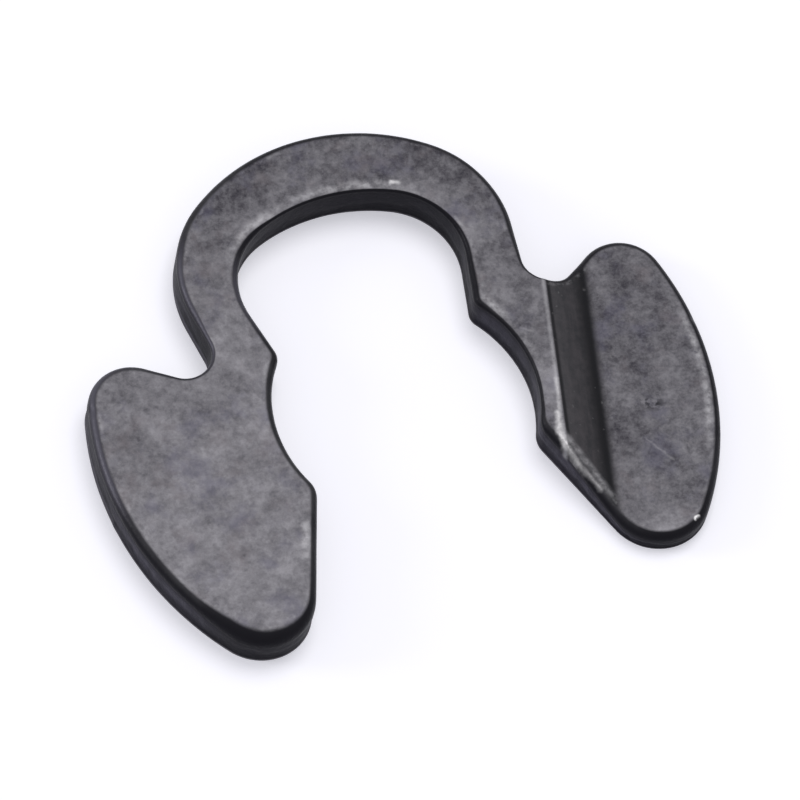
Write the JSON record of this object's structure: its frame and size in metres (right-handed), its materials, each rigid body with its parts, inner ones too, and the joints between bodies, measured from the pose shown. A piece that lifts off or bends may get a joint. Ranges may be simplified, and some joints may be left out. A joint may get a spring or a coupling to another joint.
{
  "type": "e-clip",
  "caption": "Flat spring steel e-clip: a narrow bow carries two broad lobes with concave seats that snap sideways into a shaft groove.",
  "frame": {"origin": "centre of the shaft groove, at mid thickness of the strip", "axes": "+Z through the strip, towards the face with the rolled edge and the step; +Y from the groove to the bow; +X across the lobes, towards the stepped one"},
  "size_m": [0.019, 0.0157, 0.0014],
  "materials": {
    "black_steel": "black phosphate, dull"
  },
  "bodies": {
    "root": {"e_clip": "black_steel"}
  },
  "joints": []
}
